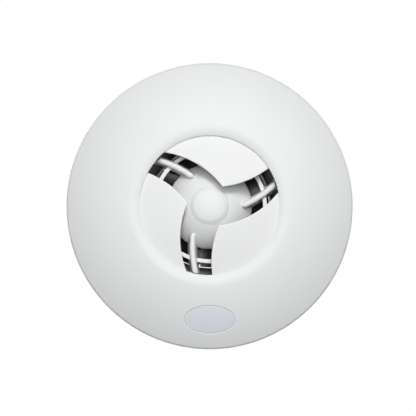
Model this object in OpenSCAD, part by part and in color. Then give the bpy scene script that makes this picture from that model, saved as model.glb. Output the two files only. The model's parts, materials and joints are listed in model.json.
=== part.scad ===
// Bathroom extractor fan: a round domed cover with a three-petal iris shutter, an axial
// fan in a duct spigot behind it, and the shutter drive and the electrics between the two.
// Each piece is drawn as seen by someone facing the wall: x to the right, y up and z out
// of the wall into the room. on_wall() then stands it up, so the room is on the -Y side
// and +Z is up. The origin is where the fan's axis meets the face of the wall.

/* [Cover] */
// Outside diameter of the cover
cover_d = 220; // [214:1:240]
// Wall thickness of the cover
cover_wall = 2.3; // [1.8:0.1:2.8]
// Diameter of the round opening in the middle of the cover
opening_d = 106.8; // [104:0.2:109]
// How far the crest of the dome lies outside the opening's edge
crest_offset = 6.6; // [5:0.1:9]
// Height of the crest above the petals' face at the opening's edge
crest_rise = 3.3; // [2.8:0.1:5]
// Radius of the rounded crest
crest_round_r = 14; // [11:0.5:20]
// Radius of the dome's arc, seen in section
dome_arc_r = 135; // [120:1:160]
// Slope of the dome where it meets the rounded outer edge
edge_slope = 32.2; // [28:0.1:36]
// Rounding of the outer edge
cover_edge_r = 3; // [2.9:0.1:4.5]
// Shadow gap between the cover's rim and the wall
cover_gap = 0.5; // [0.2:0.1:1.5]
// Width of the oval badge recess
badge_w = 39; // [30:0.5:46]
// Height of the oval badge recess
badge_h = 21.6; // [14:0.2:24]
// Distance of the badge below the fan's axis
badge_drop = 87.5; // [84:0.5:90]
// Depth of the badge recess
badge_depth = 1; // [0.6:0.1:1.3]
// Thickness of the badge plate
badge_t = 0.6; // [0.3:0.1:0.6]

/* [Iris shutter] */
// Height of the petals' face above the wall, at the opening's edge
petal_face_z = 33; // [32.5:0.1:36]
// Radius of the sphere that the petals' faces lie on
shell_r = 200; // [185:1:240]
// Thickness of a petal
petal_t = 2; // [1.2:0.1:2.2]
// Width of the seam between closed petals
seam_gap = 0.3; // [0.2:0.05:0.8]
// Radius of the curved seams, seen from the front
seam_r = 69.6; // [64:0.1:76]
// How far the petals reach out under the cover when closed
petal_overlap = 1.9; // [1:0.1:2.5]
// Distance of a petal's pivot outside the opening's edge
pivot_offset = 7.1; // [6.6:0.1:8]
// Direction of the top petal's pivot
first_pivot_a = 137; // [135:0.5:139]
// How far the petals stand open at rest
petal_rest_a = 16.1; // [12:0.1:20]
// Whole turn of a petal, from closed to fully open
petal_turn_a = 48; // [44:0.5:49]
// Diameter of the pivot pins
pivot_d = 5; // [4:0.1:5.6]
// Diameter of the petals' pivot bosses
boss_d = 8; // [7.6:0.1:8.4]
// Distance of a petal's drive pin from its pivot
drive_arm = 15; // [14:0.1:15.5]
// Diameter of the ball at the end of a drive pin
drive_ball_d = 2.8; // [2.4:0.1:3]

/* [Shutter drive] */
// Width of the drive ring
ring_w = 14; // [13:0.1:15]
// Thickness of the drive ring
ring_t = 2.6; // [2.2:0.1:3]
// Thickness of the carrier's seat under the drive ring
seat_t = 2.2; // [1.6:0.1:2.6]
// Gear module of the ring sector and the pinion
gear_module = 1; // [0.99:0.005:1.02]
// Teeth that a whole gear of the sector's size would have
sector_teeth = 172; // [170:2:174]
// Teeth of the pinion
pinion_teeth = 10; // [10:1:12]
// Diameter of the shutter motor
shutter_motor_d = 24; // [20:0.5:25]
// Length of the shutter motor's can
shutter_motor_h = 11; // [8:0.5:12]

/* [Guard frame] */
// Diameter of the motor hub in the middle of the guard
hub_d = 65; // [64:0.2:67]
// Wall thickness of the hub
hub_wall = 2.5; // [2:0.1:3]
// Radius of the hub's domed front
hub_dome_r = 36; // [34.5:0.1:40]
// Height of the hub's dome above the wall
hub_top_z = 31.7; // [31.2:0.1:32.5]
// Diameter of the raised cap on the dome
cap_d = 24.8; // [18:0.2:30]
// Height of the cap above the dome
cap_rise = 0.5; // [0.2:0.1:1]
// Height of the fins' front edges above the wall
fin_front_z = 25; // [23:0.1:27]
// Height of the fins' rear edges above the wall
fin_rear_z = 8; // [7:0.1:8.5]
// Width of a fin at its front
fin_front_w = 4.6; // [2:0.1:6]
// Width of a fin at its rear
fin_rear_w = 7.6; // [7:0.1:9]
// Radius of a fin's curve, seen from the front
fin_curve_r = 90; // [70:1:140]
// Inside diameter of the guard ring
guard_d = 82; // [76:0.5:88]
// Width of the guard ring
guard_w = 3; // [2:0.1:4]
// Thickness of the guard ring, front to back
guard_t = 4; // [3:0.1:5]

/* [Housing] */
// Outside diameter of the duct spigot
spigot_d = 99; // [98:0.1:100]
// Wall thickness of the spigot
spigot_wall = 2; // [1.6:0.1:2.4]
// Length of the spigot behind the wall's face
spigot_len = 60; // [56:1:90]
// Thickness of the wall plate
plate_t = 2.5; // [2:0.1:3]
// Height of the inlet's mouth above the wall
inlet_z = 11.3; // [11:0.1:12]
// Diameter of the circle of wall screw holes
wall_screw_pcd = 172; // [168:0.5:174]
// Diameter of a wall screw hole
wall_screw_d = 4.5; // [4:0.1:5]
// Diameter of the hole for the supply cable's grommet
cable_hole_d = 14; // [12:0.5:15]
// Bore of the supply cable's grommet
cable_bore_d = 8; // [6:0.5:9]

/* [Motor and impeller] */
// Diameter of the motor shaft
shaft_d = 5; // [4:0.1:6]
// Diameter of the rotor
rotor_d = 26; // [24:0.5:27]
// Air gap between the rotor and the stator
air_gap = 0.5; // [0.3:0.1:0.8]
// Length of the stator's stack
stack_len = 15; // [12:0.5:15]
// Outside diameter of the ball bearings
bearing_d = 16; // [14:0.5:17]
// Width of the ball bearings
bearing_w = 5; // [4:0.1:5.5]
// Number of impeller blades
blades = 9; // [5:1:9]
// Clearance between the blade tips and the spigot
tip_gap = 1; // [0.6:0.1:2]
// Length of the impeller, front to back
impeller_len = 23; // [20:0.5:26]
// Thickness of a blade
blade_t = 1.8; // [1.4:0.1:2.4]

/* [Hidden] */
$fn = 96;

// Overshoot of every cut that leaves a solid
cut = 1;
// How far joined shapes run into each other
overlap = 0.5;
// Radial clearance of a shaft, pin or ring that turns
run_fit = 0.05;
// Clearance of pieces that only pass each other
pass_fit = 0.3;
copies = [0:2];
sides = [-1, 1];
// Radial clearance of a screw's hole, and the cross slot in its head
screw_fit = 0.1;
screw_slot_w = 0.7;
screw_slot_depth = 0.8;
screw_slot_share = 1.2;
// Radius and height of the screws' heads
clamp_head = [3, 1.8];
small_head = [2.8, 1.6];
bracket_head = [2.7, 1.4];
board_head = [2, 1.2];

// Cover section: the crest arc, the dome arc and the edge arc run into each other
cover_r = cover_d / 2;
opening_r = opening_d / 2;
crest_r = opening_r + crest_offset;
crest_z = petal_face_z + crest_rise;
crest_centre_z = crest_z - crest_round_r;
edge_centre_r = cover_r - cover_edge_r;
dome_centre_r = edge_centre_r - (dome_arc_r - cover_edge_r) * sin(edge_slope);
crest_slope = asin((crest_r - dome_centre_r) / (dome_arc_r - crest_round_r));
dome_centre_z = crest_centre_z - (dome_arc_r - crest_round_r) * cos(crest_slope);
edge_centre_z = dome_centre_z + (dome_arc_r - cover_edge_r) * cos(edge_slope);
badge_fit = 0.2;

// Petals: all three lie in one spherical shell and turn about axes through its centre
lip_gap = 0.4;
shell_z = petal_face_z - sqrt(shell_r ^ 2 - opening_r ^ 2);
pivot_r = opening_r + pivot_offset;
pivot_tilt = asin(pivot_r / shell_r);
petal_rim_r = opening_r + petal_overlap;
seam_a = first_pivot_a + acos(pivot_r / (2 * seam_r));
petal_inner_r = shell_r - petal_t;
lug_r = boss_d / 2 + 0.6;
pivot_span_a = acos(1 - 1.5 * sin(pivot_tilt) ^ 2);
tail_a = pivot_span_a - asin((lug_r + 0.4) / petal_inner_r);
boss_roof_t = 1.6;
neck_reach = 4;
ear_r = drive_ball_d / 2 + 1.8;
neck_r = drive_ball_d / 2 - 0.3;

// Levels of the shutter drive, from the inlet's mouth outwards
ring_gap = 0.2;
carrier_z = inlet_z + guard_t;
seat_z = carrier_z + seat_t;
ring_z = seat_z + ring_gap;
ring_top_z = ring_z + ring_t;
collar_z = ring_top_z + 2 * ring_gap;
ball_z = seat_z + drive_ball_d / 2 + 2 * ring_gap;

// Radii of the carrier and of the drive ring
carrier_r = opening_r + 1.1;
collar_w = 11.2;
collar_r = carrier_r + collar_w;
collar_wall = 2;
ring_r = collar_r + run_fit;
ring_outer_r = ring_r + ring_w;
seat_r = ring_outer_r + 3.5;
ring_wall_r = ring_outer_r + 1.3;
ring_wall_t = 1.9;
ring_wall_h = 2;
ring_wall_from_a = 52;
ring_wall_to_a = 130;

// The drive pins swing equally far to both sides of their pivots' radii
closed_arm_a = -petal_turn_a / 2;
rest_arm_a = closed_arm_a + petal_rest_a;
mean_arm_a = petal_turn_a / 3;
ball_level = (ball_z - shell_z + drive_arm * cos(mean_arm_a) * sin(pivot_tilt)) / cos(pivot_tilt);
function ball_r(arm_a) = drive_arm * cos(arm_a) * cos(pivot_tilt) + ball_level * sin(pivot_tilt);
function ball_a(arm_a) = atan2(drive_arm * sin(arm_a), ball_r(arm_a));
slot_fit = 0.2;
slot_inner_r = ball_r(closed_arm_a) - 0.4;
slot_outer_r = ball_r(0) + 0.6;
boss_level = ball_level - 0.7;
post_top_level = petal_inner_r - 2;
post_sink = 1;
boss_bore_level = petal_inner_r - boss_roof_t;

// Shutter gear
pressure_a = 25;
addendum = 0.8 * gear_module;
root_gap = 0.25 * gear_module;
backlash = 0.2;
sector_r = gear_module * sector_teeth / 2;
pinion_r = gear_module * pinion_teeth / 2;
gear_a = 30;
pinion_place_r = sector_r + pinion_r;
tooth_a = 360 / sector_teeth;
tooth_steps = 6;
pinion_shaft_r = 1.5;
pinion_shaft_bite = 4;
shutter_motor_r = shutter_motor_d / 2;
shutter_motor_z = carrier_z - shutter_motor_h;
shutter_ear_x = shutter_motor_r + 2.6;
shutter_ear_r = 3.4;
lobe_margin = 1;
lobe_r = pinion_place_r + shutter_motor_r + lobe_margin;
lobe_from_a = 16;
lobe_to_a = 50.5;
lobe_screw_r = pinion_place_r + 1;
lobe_screw_a = 47;
lobe_post_r = 4;
shutter_ear_t = 1.2;
shutter_screw_bite = 2.5;
shutter_tab_a = 150;
shutter_tab_size = [5, 7, 7];

// Guard frame
hub_r = hub_d / 2;
hub_cavity_r = hub_r - hub_wall;
hub_rear_z = -11;
dome_z = hub_top_z - hub_dome_r;
guard_rim_r = opening_r + 0.8;
guard_rim_w = 3.8;
mouth_r = guard_rim_r + guard_rim_w;
guard_z = 16;
fin_inner_r = hub_r - 5.5;
fin_inner_a = first_pivot_a - 15.5;
fin_outer_r = opening_r - 1;
fin_outer_a = first_pivot_a + 1;
fin_end_r = guard_rim_r + guard_rim_w / 2;

// Screws through the guard's ears and the carrier's collar into the housing
clamp_r = carrier_r + 8;
screw_tip_z = plate_t + 3;
clamp_a = 77;
clamp_screw_r = 1.5;
clamp_boss_r = clamp_r - mouth_r - 0.2;
collar_boss_r = collar_r - clamp_r - 0.2;
ear_t = 2.5;
washer_r = 4.6;
washer_t = 0.8;

// Housing
spigot_r = spigot_d / 2;
duct_r = spigot_r - spigot_wall;
tenon_r = duct_r + spigot_wall / 2;
tenon_len = 1.5;
tenon_fit = 0.1;
plate_margin = 12;
plate_r = cover_r - plate_margin;
bell_r = min(guard_rim_r - duct_r, inlet_z - plate_t);
hook_z = 4.5;
hook_a = 5;
hook_t = 2.2;
hook_half_a = 5;
barb_half_a = 3;
window_half_a = 4;
upstand_half_a = 7;
barb_z = 6.7;
barb_h = 2;
upstand_w = 2.5;
upstand_r = plate_r - overlap;
upstand_top_z = 13;
cable_a = 195;
grommet_flange_r = cable_hole_d / 2 + 2;

// Motor and impeller
stack_top_z = 9;
stack_z = stack_top_z - stack_len;
stator_r = hub_cavity_r - run_fit;
pole_r = rotor_d / 2 + air_gap;
pole_w = 9;
yoke_w = 5.5;
coil_t = 3;
coil_end_t = 3.3;
coil_r = pole_r + 2;
coil_outer_r = stator_r - yoke_w - 3.4;
shaft_r = shaft_d / 2;
bearing_r = bearing_d / 2;
front_bearing_z = 19.3;
bearing_boss_r = bearing_r + 2.5;
bracket_t = 2;
mount_t = 1.6;
mount_r = 3.6;
mount_place_r = hub_cavity_r - mount_r - 0.2;
mount_z = stack_z - 3.5;
bracket_z = mount_z - mount_t - bracket_t;
bracket_r = hub_cavity_r - 0.2;
bracket_screw_r = 1.5;
bracket_screw_bite = 3;
rear_bearing_z = bracket_z - 3;
impeller_z = bracket_z - 1.5 - impeller_len;
impeller_front_z = impeller_z + impeller_len;
impeller_hub_r = hub_r - 1;
impeller_hub_wall = 2;
web_z = rear_bearing_z - 4;
web_t = 2;
impeller_boss_r = 6;
blade_r = duct_r - tip_gap;
blade_curve_r = 34;
blade_reach = 30;
nut_h = 4;
nut_z = web_z - 8 - nut_h;
shaft_front_z = front_bearing_z + bearing_w + 1.5;
shaft_rear_z = nut_z - 3;

// Electrics, on the wall plate under the shutter drive
board_z = 5;
board_t = 1.6;
board_top_z = board_z + board_t;
board_inner_r = 66;
board_outer_r = 92;
board_from_a = 100;
board_to_a = 150;
board_screw_r = 1;
board_post_r = 2.5;
board_screw_places = [[69.5, 103], [89, 103], [89, 146]];
relay_place = [82, 113];
relay_size = [10, 15, 7.5];
capacitor_place = [71.5, 112];
capacitor_size = [6, 13, 7.5];
chip_place = [77, 131];
chip_size = [6, 8, 2];
motor_plug_place = [70, 141.6];
motor_plug_size = [5, 7.5, 6];
shutter_plug_size = [6, 6, 6];
supply_plug_size = [6, 4.4, 6.5];
timer_w = 7;
knob_r = 2.6;
timer_r = 86;
timer_a = 125;
timer_stem_r = 1;
timer_z = board_top_z + 3.5;
knob_h = 2.5;
lead_r = 0.8;
lead_room = 2.5;
supply_path_r = max(clamp_r + clamp_boss_r + lead_room,
    board_inner_r + supply_plug_size[0] / 2 + pass_fit);
guide_gap = 1.1;
guide_t = 1.6;
guide_h = 10;
guide_from_a = 163;
guide_to_a = 168;
supply_levels = [7.8, 9.6, 11.4];
shutter_path_r = 79;
shutter_levels = [8.4, 10.4];
terminal_a = 238;
terminal_w = 26;
terminal_d = 13;
terminal_gap = 3.2;
terminal_r = supply_path_r + terminal_gap + terminal_d / 2;
terminal_h = 10;
terminal_pitch = 8;
terminal_screw_r = 2.2;
terminal_screw_depth = 3.5;
terminal_wire_r = 1.7;
terminal_wire_depth = 4;
terminal_wire_drop = 6;
clamp_bar_a = 221;
clamp_bar_len = 18;
clamp_bar_gap = 1.7;
clamp_bar_r = supply_path_r + clamp_bar_gap + clamp_bar_len / 2;
cable_r = clamp_bar_r;
clamp_bar_w = 6;
clamp_bar_t = 2.5;
clamp_post_h = 6;
clamp_post_r = 3;
clamp_bar_z = plate_t + clamp_post_h;
clamp_screw_x = clamp_bar_len / 2 - clamp_post_r;
motor_lead_r = 1.2;
motor_lead_z = 10.6;
motor_lead_len = 46;

// ---- helpers ----

module on_wall() rotate([90, 0, 0]) children();

// Copies at every third of a turn
module thrice() for (k = copies) rotate([0, 0, 120 * k]) children();

// Moved out to radius r in direction a
module at(r, a) rotate([0, 0, a]) translate([r, 0, 0]) children();

module rod(r, z0, z1) translate([0, 0, z0]) cylinder(r = r, h = z1 - z0);

module tube(r0, r1, z0, z1) rotate_extrude() translate([r0, z0]) square([r1 - r0, z1 - z0]);

module tube_arc(r0, r1, z0, z1, a0, a1)
    rotate([0, 0, a0])
        rotate_extrude(angle = a1 - a0) translate([r0, z0]) square([r1 - r0, z1 - z0]);

// A block centred on the x axis, lx along it, ly across it
module block(lx, ly, z0, z1)
    translate([-lx / 2, -ly / 2, z0]) cube([lx, ly, z1 - z0]);

// A pan-head screw from z0 up to the seat of its head, whose radius and height are given
module screw(r, z0, z_seat, head) {
    slot_len = head[0] * screw_slot_share;
    difference() {
        union() {
            rod(r, z0, z_seat + head[1] / 4);
            rod(head[0], z_seat, z_seat + head[1]);
        }
        translate([0, 0, z_seat + head[1]]) {
            block(slot_len, screw_slot_w, -screw_slot_depth, cut);
            block(screw_slot_w, slot_len, -screw_slot_depth, cut);
        }
    }
}

function polar(r, a) = [r * cos(a), r * sin(a)];

// ---- the petals' shell ----

module shell_ball(r) translate([0, 0, shell_z]) sphere(r = r, $fn = 240);

// Axis of the top petal's pivot: children's z is the distance from the shell's centre
module on_pivot()
    translate([0, 0, shell_z]) rotate([0, 0, first_pivot_a]) rotate([0, pivot_tilt, 0]) children();

// Turned by angle a about the top petal's pivot
module turned(a)
    translate([0, 0, shell_z])
        rotate(a = a, v = concat(polar(sin(pivot_tilt), first_pivot_a), cos(pivot_tilt)))
            translate([0, 0, -shell_z]) children();

// ---- cover ----

// Half section of the solid under the cover's outer face, moved inwards by inset.
// The outer face has a rounded edge, and a face inside it a plain corner.
module cover_section(inset, r_in, z_low) {
    crest_end_r = crest_r + (crest_round_r - inset) * sin(crest_slope);
    edge_start_r = edge_centre_r + cover_edge_r * sin(edge_slope);
    dome_end_r = inset == 0 ? edge_start_r : cover_r - inset;
    translate([r_in, z_low]) square([crest_end_r - r_in + overlap, crest_centre_z - z_low]);
    intersection() {
        translate([crest_r, crest_centre_z]) circle(r = crest_round_r - inset);
        translate([r_in, crest_centre_z]) square([crest_end_r - r_in, crest_round_r]);
    }
    intersection() {
        translate([dome_centre_r, dome_centre_z]) circle(r = dome_arc_r - inset, $fn = 360);
        translate([crest_end_r, z_low]) square([dome_end_r - crest_end_r, crest_z + cut - z_low]);
    }
    if (inset == 0) {
        intersection() {
            translate([edge_centre_r, edge_centre_z]) circle(r = cover_edge_r);
            translate([edge_start_r, edge_centre_z]) square([cover_edge_r, cover_edge_r]);
        }
        translate([edge_start_r - overlap, z_low])
            square([cover_r - edge_start_r + overlap, edge_centre_z - z_low]);
    }
}

module cover_body(inset, r_in, z_low)
    rotate_extrude($fn = 180) cover_section(inset, r_in, z_low);

// Oval prism at the badge, smaller all round by inset
module badge_prism(inset)
    translate([0, -badge_drop, 0])
        linear_extrude(crest_z)
            polygon([for (a = [0:6:354]) [(badge_w / 2 - inset) * cos(a), (badge_h / 2 - inset) * sin(a)]]);

// Pad under the cover that keeps a petal down on its pivot
module hold_down_pad()
    difference() {
        intersection() {
            on_pivot() rod(boss_d / 2, petal_inner_r, shell_r + 8);
            cover_body(cover_wall / 2, opening_r, cover_gap);
        }
        shell_ball(shell_r + pass_fit);
    }

// Leg under the cover with a barb that snaps into the wall plate's upstand
module cover_hook() {
    r0 = upstand_r + pass_fit;
    intersection() {
        tube_arc(r0, r0 + hook_t, hook_z, crest_z, hook_a - hook_half_a, hook_a + hook_half_a);
        cover_body(cover_wall / 2, opening_r, cover_gap);
    }
    tube_arc(r0 - upstand_w + 0.2, r0 + overlap, barb_z, barb_z + barb_h,
        hook_a - barb_half_a, hook_a + barb_half_a);
}

module cover()
    color("white") on_wall() difference() {
        union() {
            difference() {
                cover_body(0, opening_r, cover_gap);
                cover_body(cover_wall, opening_r - cut, cover_gap - cut);
                intersection() {
                    shell_ball(shell_r + lip_gap);
                    rod(crest_r, 0, crest_z);
                }
            }
            thrice() hold_down_pad();
            thrice() cover_hook();
        }
        difference() {
            badge_prism(0);
            cover_body(badge_depth, opening_r - cut, -cut);
        }
    }

module badge_plate()
    color("lavender") on_wall() difference() {
        intersection() {
            badge_prism(badge_fit);
            cover_body(badge_depth - badge_t, opening_r, 0);
        }
        cover_body(badge_depth, opening_r - cut, -cut);
    }

// ---- iris ----

// Outline of the closed top petal, between two seams that both pass the fan's axis.
// Its far corner is cut off round its own pivot, to swing past the next petal's lug.
module petal_outline()
    difference() {
        intersection() {
            union() {
                circle(r = petal_rim_r);
                translate(polar(pivot_r, first_pivot_a)) circle(r = lug_r + neck_reach);
            }
            translate(polar(seam_r, seam_a - 120)) circle(r = seam_r - seam_gap / 2);
        }
        translate(polar(seam_r, seam_a)) circle(r = seam_r + seam_gap / 2);
    }

// The lug round the pivot and the ear that carries the drive pin
module drive_ear()
    rotate([0, 0, closed_arm_a]) {
        circle(r = lug_r);
        translate([0, -ear_r]) square([drive_arm, 2 * ear_r]);
        translate([drive_arm, 0]) circle(r = ear_r);
    }

module petal(turn)
    color("white") on_wall() rotate([0, 0, turn]) turned(petal_rest_a) difference() {
        union() {
            intersection() {
                difference() {
                    shell_ball(shell_r);
                    shell_ball(petal_inner_r);
                }
                union() {
                    intersection() {
                        linear_extrude(2 * petal_face_z) petal_outline();
                        on_pivot() cylinder(r1 = 0, r2 = 2 * shell_r * tan(tail_a), h = 2 * shell_r);
                    }
                    on_pivot() translate([0, 0, boss_level])
                        linear_extrude(shell_r) drive_ear();
                }
            }
            on_pivot() {
                rod(boss_d / 2, boss_level, petal_inner_r + petal_t / 4);
                rotate([0, 0, closed_arm_a]) translate([drive_arm, 0, 0]) {
                    rod(neck_r, ball_level, petal_inner_r);
                    translate([0, 0, ball_level]) sphere(r = drive_ball_d / 2);
                }
            }
        }
        on_pivot() rod(pivot_d / 2 + run_fit, boss_level - cut, boss_bore_level);
    }

module petal_top() petal(0);
module petal_left() petal(120);
module petal_right() petal(240);

// ---- shutter drive ----

function involute(a) = tan(a) * 180 / PI - a;

// Half the angle that a tooth fills at radius r
function tooth_half_a(r, pitch_r) =
    let (base_r = pitch_r * cos(pressure_a),
         pitch_half_a = (PI * gear_module / 2 - backlash) / 2 / pitch_r * 180 / PI)
    pitch_half_a + involute(pressure_a) - involute(acos(base_r / max(r, base_r)));

// One involute tooth on the x axis
module tooth(pitch_r) {
    root_r = pitch_r - addendum - root_gap;
    radii = [for (i = [0:tooth_steps]) root_r + (2 * addendum + root_gap) * i / tooth_steps];
    foot_a = tooth_half_a(root_r, pitch_r);
    linear_extrude(ring_t) polygon(concat(
        [polar(root_r - 0.4, -foot_a)],
        [for (r = radii) polar(r, -tooth_half_a(r, pitch_r))],
        [for (i = [tooth_steps:-1:0]) polar(radii[i], tooth_half_a(radii[i], pitch_r))],
        [polar(root_r - 0.4, foot_a)]
    ));
}

// Radial slot for a drive ball
module ball_slot() {
    half_w = drive_ball_d / 2 + slot_fit;
    translate([0, 0, ring_z - cut]) {
        translate([slot_inner_r, 0, 0]) cylinder(r = half_w, h = ring_t + 2 * cut);
        translate([slot_outer_r, 0, 0]) cylinder(r = half_w, h = ring_t + 2 * cut);
        translate([slot_inner_r, -half_w, 0])
            cube([slot_outer_r - slot_inner_r, 2 * half_w, ring_t + 2 * cut]);
    }
}

module drive_ring() {
    root_r = sector_r - addendum - root_gap;
    color("gainsboro") on_wall() difference() {
        union() {
            tube(ring_r, ring_outer_r, ring_z, ring_top_z);
            tube_arc(ring_outer_r - cut, root_r, ring_z, ring_top_z,
                gear_a - 7 * tooth_a, gear_a + 5 * tooth_a);
            for (j = [-6:4])
                rotate([0, 0, gear_a + (j + 0.5) * tooth_a])
                    translate([0, 0, ring_z]) tooth(sector_r);
        }
        thrice() rotate([0, 0, first_pivot_a + ball_a(rest_arm_a)]) ball_slot();
    }
}

module shutter_pinion()
    color("ivory") on_wall() at(pinion_place_r, gear_a) rotate([0, 0, 180]) {
        rod(pinion_r - addendum - root_gap, ring_z, ring_top_z);
        for (j = [1:pinion_teeth])
            rotate([0, 0, j * 360 / pinion_teeth]) translate([0, 0, ring_z]) tooth(pinion_r);
        rod(pinion_shaft_r, carrier_z - pinion_shaft_bite, ring_top_z + 1);
    }

// Outline of the seat under the drive ring with its three lobes: one carries the shutter
// motor, and all of them the outer screws. The clamp bosses stand on its inner edge.
module seat_outline()
    difference() {
        union() {
            circle(r = seat_r);
            thrice() intersection() {
                circle(r = lobe_r);
                polygon([[0, 0], polar(2 * lobe_r, lobe_from_a), polar(2 * lobe_r, lobe_to_a)]);
            }
        }
        difference() {
            circle(r = collar_r - collar_wall);
            thrice() at(clamp_r, clamp_a) circle(r = collar_boss_r);
        }
        thrice() at(lobe_screw_r, lobe_screw_a) circle(r = clamp_screw_r + screw_fit);
    }

// Tilted post that a petal turns on, with a shoulder under the petal's boss
module pivot_post()
    difference() {
        on_pivot() {
            rod(boss_d / 2, (carrier_z - shell_z) / cos(pivot_tilt), boss_level - 0.2);
            rod(pivot_d / 2, boss_level - 2, post_top_level);
        }
        rod(collar_r, 0, collar_z - post_sink);
    }

module petal_carrier()
    color("dimgray") on_wall() difference() {
        union() {
            tube(carrier_r, carrier_r + collar_wall, carrier_z, collar_z);
            tube(collar_r - collar_wall, collar_r, seat_z - overlap, collar_z);
            tube(carrier_r, collar_r, collar_z - 2.2, collar_z);
            translate([0, 0, carrier_z]) linear_extrude(seat_t) seat_outline();
            thrice() {
                tube_arc(ring_wall_r, ring_wall_r + ring_wall_t, seat_z - overlap, seat_z + ring_wall_h,
                    ring_wall_from_a, ring_wall_to_a);
                at(clamp_r, clamp_a) rod(collar_boss_r, seat_z - overlap, collar_z - overlap);
                pivot_post();
            }
        }
        thrice() at(clamp_r, clamp_a) rod(clamp_screw_r + screw_fit, carrier_z - cut, collar_z + cut);
        at(pinion_place_r, gear_a) {
            rod(pinion_r + addendum + 0.6, seat_z - seat_t / 2, ring_top_z);
            rod(pinion_shaft_r + 1, carrier_z - cut, seat_z + cut);
            for (s = sides)
                translate([0, s * shutter_ear_x, 0])
                    rod(clamp_screw_r + screw_fit, carrier_z - cut, seat_z + cut);
        }
    }

module carrier_screws()
    color("silver") on_wall() thrice() {
        at(clamp_r, clamp_a) screw(clamp_screw_r, screw_tip_z, collar_z + washer_t, clamp_head);
        at(lobe_screw_r, lobe_screw_a) screw(clamp_screw_r, screw_tip_z, seat_z, clamp_head);
    }

module ring_washers()
    color("silver") on_wall() thrice() at(clamp_r, clamp_a)
        tube(clamp_screw_r + screw_fit, washer_r, collar_z, collar_z + washer_t);

module shutter_motor()
    color("silver") on_wall() at(pinion_place_r, gear_a) difference() {
        union() {
            rod(shutter_motor_r, shutter_motor_z, carrier_z);
            block(2 * shutter_ear_r, 2 * shutter_ear_x, carrier_z - shutter_ear_t, carrier_z);
            for (s = sides)
                translate([0, s * shutter_ear_x, 0]) rod(shutter_ear_r, carrier_z - shutter_ear_t, carrier_z);
            at(shutter_motor_r + 1, shutter_tab_a)
                block(shutter_tab_size[0], shutter_tab_size[1],
                    shutter_motor_z + 1, shutter_motor_z + 1 + shutter_tab_size[2]);
        }
        rod(pinion_shaft_r + run_fit, carrier_z - pinion_shaft_bite - 1, carrier_z + cut);
        for (s = sides)
            translate([0, s * shutter_ear_x, 0])
                rod(clamp_screw_r, carrier_z - shutter_screw_bite, carrier_z + cut);
    }

module shutter_motor_screws()
    color("silver") on_wall() at(pinion_place_r, gear_a) for (s = sides)
        translate([0, s * shutter_ear_x, 0])
            screw(clamp_screw_r, carrier_z - shutter_screw_bite, seat_z, small_head);

// ---- guard frame ----

// Section of a fin across its length, smaller all round by inset: a wedge with a round front
module fin_section(inset) {
    front_r = fin_front_w / 2;
    tip_r = front_r - inset;
    rear_r = fin_rear_w / 2 - inset;
    shoulder_z = fin_front_z - front_r;
    polygon([[-rear_r, fin_rear_z], [rear_r, fin_rear_z], [tip_r, shoulder_z], [-tip_r, shoulder_z]]);
    intersection() {
        translate([0, shoulder_z]) circle(r = tip_r);
        translate([-tip_r, shoulder_z]) square([2 * tip_r, tip_r]);
    }
}

// A fin swept along its curve from the hub's dome to the rim, with a round inner end
module fin() {
    start = polar(fin_inner_r, fin_inner_a);
    end = polar(fin_outer_r, fin_outer_a);
    chord = end - start;
    half = norm(chord) / 2;
    chord_a = atan2(chord[1], chord[0]);
    centre = (start + end) / 2 + polar(sqrt(fin_curve_r ^ 2 - half ^ 2), chord_a + 90);
    sweep_a = asin(half / fin_curve_r);
    intersection() {
        union() {
            translate([centre[0], centre[1], 0])
                rotate([0, 0, chord_a - 90 - sweep_a])
                    rotate_extrude(angle = 2 * sweep_a + 4, $fn = 360)
                        translate([fin_curve_r, 0]) fin_section(0);
            translate([start[0], start[1], 0]) rotate_extrude() intersection() {
                fin_section(0.1);
                translate([0, fin_rear_z]) square([fin_rear_w, fin_front_z]);
            }
        }
        union() {
            rod(duct_r - pass_fit, fin_rear_z - cut, fin_front_z + cut);
            rod(fin_end_r, inlet_z + overlap, carrier_z - overlap);
            rod(fin_outer_r + pass_fit, inlet_z, fin_front_z + cut);
        }
    }
}

// Path of the motor's lead through a fin, with its radius
module motor_lead_rod(r) {
    start = polar(fin_inner_r, fin_inner_a);
    chord = polar(fin_outer_r, fin_outer_a) - start;
    translate([start[0], start[1], motor_lead_z])
        rotate([0, 0, atan2(chord[1], chord[0])]) translate([-3.5, 0, 0])
            rotate([0, 90, 0]) cylinder(r = r, h = motor_lead_len);
}

// Solid of the hub, smaller all round by inset
module hub_solid(inset, z0)
    intersection() {
        translate([0, 0, dome_z]) sphere(r = hub_dome_r - inset, $fn = 180);
        rod(hub_r - inset, z0, hub_top_z);
    }

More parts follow.
